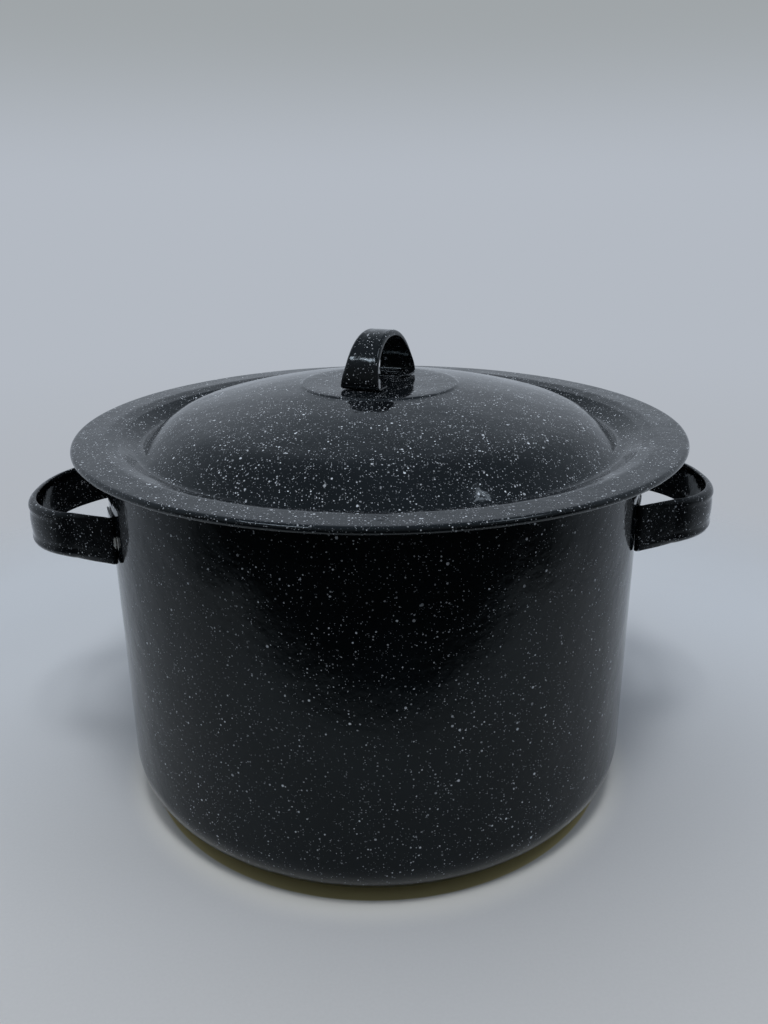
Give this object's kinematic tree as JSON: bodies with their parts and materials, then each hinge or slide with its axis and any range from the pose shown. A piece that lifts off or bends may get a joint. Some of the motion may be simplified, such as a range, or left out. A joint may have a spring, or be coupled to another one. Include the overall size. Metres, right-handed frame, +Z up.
{
  "type": "stock pot",
  "caption": "Enamelled steel stock pot with two side strap handles and a domed lift-off lid with a strap loop handle.",
  "frame": {"origin": "middle of the flat base, on the surface it stands on", "axes": "+X through the right side handle, -Y towards the viewer's side, +Z up"},
  "size_m": [0.4, 0.3442, 0.2706],
  "materials": {
    "pot_enamel": "gloss black porcelain enamel with fine white flecks",
    "lid_enamel": "gloss black porcelain enamel with fine white flecks",
    "handle_enamel": "gloss black porcelain enamel with fine white flecks",
    "lid_handle_enamel": "gloss black porcelain enamel with fine white flecks",
    "weld_steel": "fused steel, out of sight"
  },
  "bodies": {
    "pot": {"pot_shell": "pot_enamel", "left_handle": "handle_enamel", "right_handle": "handle_enamel", "left_handle_front_upper_weld": "weld_steel", "left_handle_front_lower_weld": "weld_steel", "left_handle_back_upper_weld": "weld_steel", "left_handle_back_lower_weld": "weld_steel", "right_handle_front_upper_weld": "weld_steel", "right_handle_front_lower_weld": "weld_steel", "right_handle_back_upper_weld": "weld_steel", "right_handle_back_lower_weld": "weld_steel"},
    "lid": {"lid_shell": "lid_enamel", "lid_handle": "lid_handle_enamel", "lid_handle_near_left_weld": "weld_steel", "lid_handle_near_right_weld": "weld_steel", "lid_handle_far_left_weld": "weld_steel", "lid_handle_far_right_weld": "weld_steel"}
  },
  "joints": [
    {"name": "lid_lift", "type": "slide", "parent": "pot", "child": "lid", "axis": [0, 0, 1], "range_m": [0, 0.3]}
  ]
}
